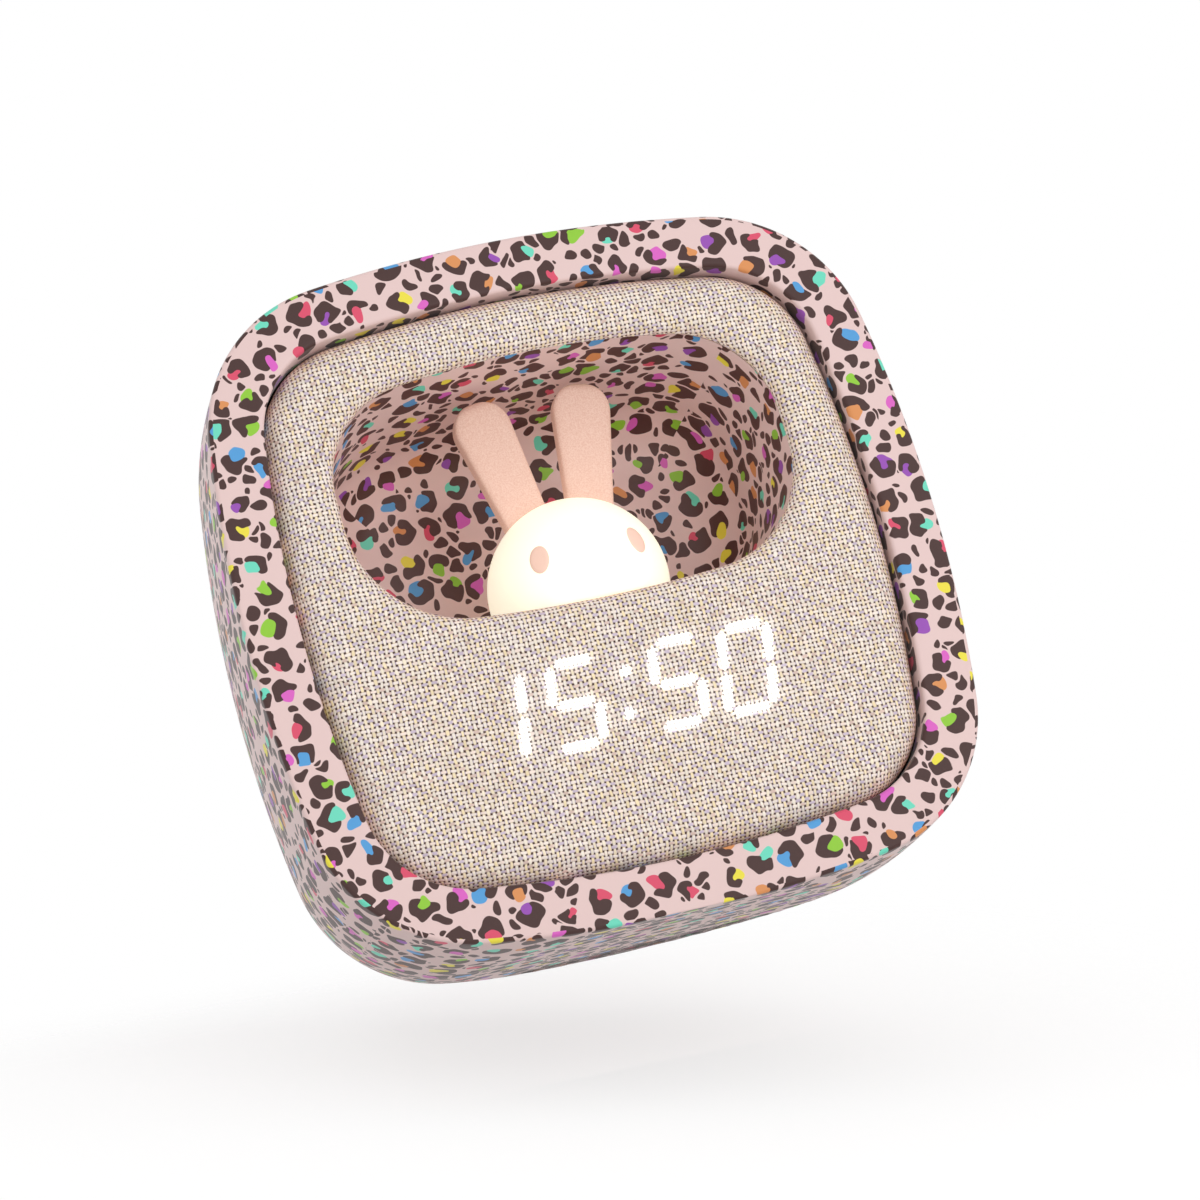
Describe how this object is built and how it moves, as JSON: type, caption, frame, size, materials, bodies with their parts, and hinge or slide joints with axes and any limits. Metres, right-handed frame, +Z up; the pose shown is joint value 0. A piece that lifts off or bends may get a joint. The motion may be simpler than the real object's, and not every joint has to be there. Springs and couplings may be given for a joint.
{
  "type": "kids alarm clock with night light",
  "caption": "Leaning bowed-square alarm clock: printed silicone sleeve, cloth front, glowing digits, window on a printed recess with a glowing rabbit, controls on the back.",
  "frame": {"origin": "centre of the footprint box, on the surface that the clock stands on", "axes": "+Z up, the face looks along -Y and leans back 6.5 degrees, +X to the viewer's right"},
  "size_m": [0.104, 0.081, 0.103],
  "materials": {
    "printed_silicone": "matte silicone with a printed leopard pattern",
    "white_abs": "moulded",
    "pale_abs": "fine spark texture",
    "black_abs": "moulded",
    "woven_cloth": "coarse open weave",
    "printed_plastic": "printed leopard pattern",
    "milky_diffuser": "translucent",
    "pink_diffuser": "translucent",
    "pink_print": "printed",
    "circuit_board": "solder mask",
    "led_white": "moulded",
    "segment_light": "translucent",
    "button_abs": "moulded",
    "tin_plate": "stamped",
    "magnet_steel": "plated",
    "cone_paper": "coated",
    "foam": "closed cell",
    "cell_wrap": "shrink wrap",
    "wire_jacket": "jacket",
    "ribbon_film": "film",
    "screw_steel": "zinc plated"
  },
  "bodies": {
    "clock": {"silicone_sleeve": "printed_silicone", "inner_shell": "white_abs", "front_panel": "white_abs", "fabric_cover": "woven_cloth", "recess_liner": "printed_plastic", "rabbit_head": "milky_diffuser", "rabbit_eyes": "pink_print", "left_ear": "pink_diffuser", "right_ear": "pink_diffuser", "lamp_reflector": "white_abs", "lamp_board": "circuit_board", "lamp_leds": "led_white", "display_mask": "black_abs", "display_segments": "segment_light", "display_board": "circuit_board", "display_leds": "led_white", "back_cover": "pale_abs", "main_board": "circuit_board", "tact_switches": "black_abs", "slide_switch": "tin_plate", "usb_socket": "tin_plate", "board_chips": "black_abs", "speaker_gasket": "foam", "speaker_frame": "tin_plate", "speaker_magnet": "magnet_steel", "speaker_cone": "cone_paper", "battery": "cell_wrap", "battery_cradle": "white_abs", "battery_leads": "wire_jacket", "speaker_leads": "wire_jacket", "lamp_leads": "wire_jacket", "display_ribbon": "ribbon_film", "small_screws": "screw_steel", "lamp_screws": "screw_steel", "cover_screws": "screw_steel"},
    "set_button": {"set_button": "button_abs"},
    "minus_button": {"minus_button": "button_abs"},
    "plus_button": {"plus_button": "button_abs"},
    "alarm_button": {"alarm_button": "button_abs"},
    "alarm_switch_knob": {"alarm_switch_knob": "button_abs"}
  },
  "joints": [
    {"name": "set_button_press", "type": "slide", "parent": "clock", "child": "set_button", "axis": [0, -0.9936, 0.1132], "range_m": [0, 0.0007], "stiffness_N_per_m": 1500, "springref_m": -0.0004},
    {"name": "minus_button_press", "type": "slide", "parent": "clock", "child": "minus_button", "axis": [0, -0.9936, 0.1132], "range_m": [0, 0.0007], "stiffness_N_per_m": 1500, "springref_m": -0.0004},
    {"name": "plus_button_press", "type": "slide", "parent": "clock", "child": "plus_button", "axis": [0, -0.9936, 0.1132], "range_m": [0, 0.0007], "stiffness_N_per_m": 1500, "springref_m": -0.0004},
    {"name": "alarm_button_press", "type": "slide", "parent": "clock", "child": "alarm_button", "axis": [0, -0.9936, 0.1132], "range_m": [0, 0.0007], "stiffness_N_per_m": 1500, "springref_m": -0.0004},
    {"name": "alarm_switch_slide", "type": "slide", "parent": "clock", "child": "alarm_switch_knob", "axis": [1, 0, 0], "range_m": [0, 0.002]}
  ]
}
